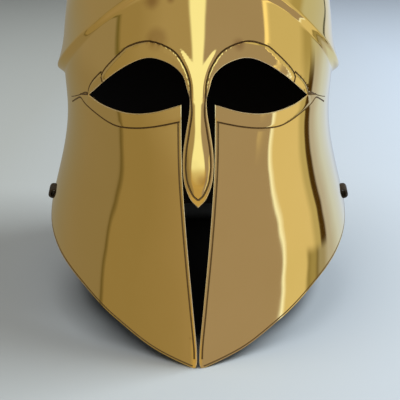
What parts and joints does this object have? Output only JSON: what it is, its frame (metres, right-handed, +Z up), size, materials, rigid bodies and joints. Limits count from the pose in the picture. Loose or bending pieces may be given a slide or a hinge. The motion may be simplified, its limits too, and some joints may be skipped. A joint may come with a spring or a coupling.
{
  "type": "corinthian helmet",
  "caption": "Polished brass Corinthian helmet with arched brow ledge, almond eye openings, leaf-tipped nose guard, long cheek guards, flared neck guard and leather tie loops.",
  "frame": {"origin": "on the surface the helmet stands on, under the middle of its box", "axes": "+Z up through the skull, -Y out of the face, +X toward the viewer's right when looking at the face"},
  "size_m": [0.2332, 0.2851, 0.3053],
  "materials": {
    "brass_sheet": "mirror polished with faint hammer waviness",
    "tie_leather": "worn black leather"
  },
  "bodies": {
    "root": {"helmet_shell": "brass_sheet", "tie_loop_left": "tie_leather", "tie_loop_right": "tie_leather"}
  },
  "joints": []
}
